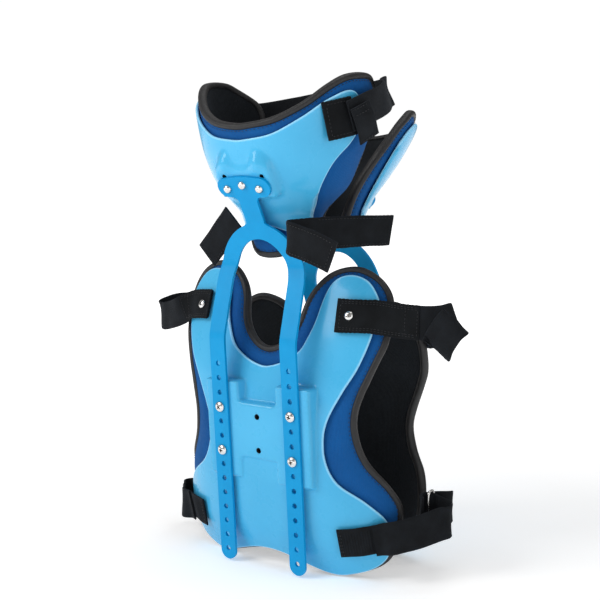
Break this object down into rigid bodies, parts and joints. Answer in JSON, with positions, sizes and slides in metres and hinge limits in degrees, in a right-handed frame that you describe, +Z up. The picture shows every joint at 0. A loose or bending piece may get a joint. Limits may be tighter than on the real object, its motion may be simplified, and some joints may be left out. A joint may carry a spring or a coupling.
{
  "type": "head neck and chest brace",
  "caption": "Two padded half shells strapped round the chest, each with a perforated upright on a slide that carries a cup for the back of the head or for the chin.",
  "frame": {"origin": "centre of the brace's footprint box, on the surface that it stands on", "axes": "+Z up the wearer's spine; -Y out of the back half; X from side to side. The plane halfway between the uprights' legs is at X = -0.02107"},
  "size_m": [0.3818, 0.2406, 0.4941],
  "materials": {
    "moulded_shell": "gloss",
    "painted_upright": "satin",
    "padded_liner": "matte",
    "strap_webbing": "matte",
    "bright_metal": "polished"
  },
  "bodies": {
    "back_half": {"posterior_insert_1": "bright_metal", "posterior_insert_2": "bright_metal", "posterior_insert_3": "bright_metal", "posterior_insert_4": "bright_metal", "posterior_liner": "padded_liner", "posterior_screw_1": "bright_metal", "posterior_screw_2": "bright_metal", "posterior_screw_3": "bright_metal", "posterior_screw_4": "bright_metal", "posterior_shell": "moulded_shell", "shoulder_rivet_back_left": "bright_metal", "shoulder_rivet_back_right": "bright_metal", "shoulder_strap_back_left": "strap_webbing", "shoulder_strap_back_right": "strap_webbing", "waist_strap_back_left": "strap_webbing", "waist_strap_back_right": "strap_webbing"},
    "occipital_unit": {"forehead_patch_left": "strap_webbing", "forehead_patch_right": "strap_webbing", "forehead_strap": "strap_webbing", "forehead_tail": "strap_webbing", "neck_strap_left": "strap_webbing", "neck_strap_right": "strap_webbing", "occipital_liner": "padded_liner", "occipital_rivet_1": "bright_metal", "occipital_rivet_2": "bright_metal", "occipital_rivet_3": "bright_metal", "occipital_shell": "moulded_shell", "posterior_upright": "painted_upright"},
    "front_half": {"anterior_insert_1": "bright_metal", "anterior_insert_2": "bright_metal", "anterior_insert_3": "bright_metal", "anterior_insert_4": "bright_metal", "anterior_liner": "padded_liner", "anterior_shell": "moulded_shell", "shoulder_rivet_front_left": "bright_metal", "shoulder_rivet_front_right": "bright_metal", "shoulder_strap_front_left": "strap_webbing", "shoulder_strap_front_right": "strap_webbing", "waist_ring_left": "bright_metal", "waist_ring_right": "bright_metal", "waist_tab_front_left": "strap_webbing", "waist_tab_front_right": "strap_webbing"},
    "chin_unit": {"anterior_screw_1": "bright_metal", "anterior_screw_2": "bright_metal", "anterior_screw_3": "bright_metal", "anterior_screw_4": "bright_metal", "anterior_upright": "painted_upright", "chin_liner": "padded_liner", "chin_rivet_1": "bright_metal", "chin_rivet_2": "bright_metal", "chin_rivet_3": "bright_metal", "chin_shell": "moulded_shell"}
  },
  "joints": [
    {"name": "occipital_height", "type": "slide", "parent": "back_half", "child": "occipital_unit", "axis": [0, -0.0748, 0.9972], "range_m": [0, 0.09]},
    {"name": "front_spacing", "type": "slide", "parent": "back_half", "child": "front_half", "axis": [0, 1, 0], "range_m": [0, 0.04]},
    {"name": "chin_height", "type": "slide", "parent": "front_half", "child": "chin_unit", "axis": [0, 0.0748, 0.9972], "range_m": [0, 0.015]}
  ]
}
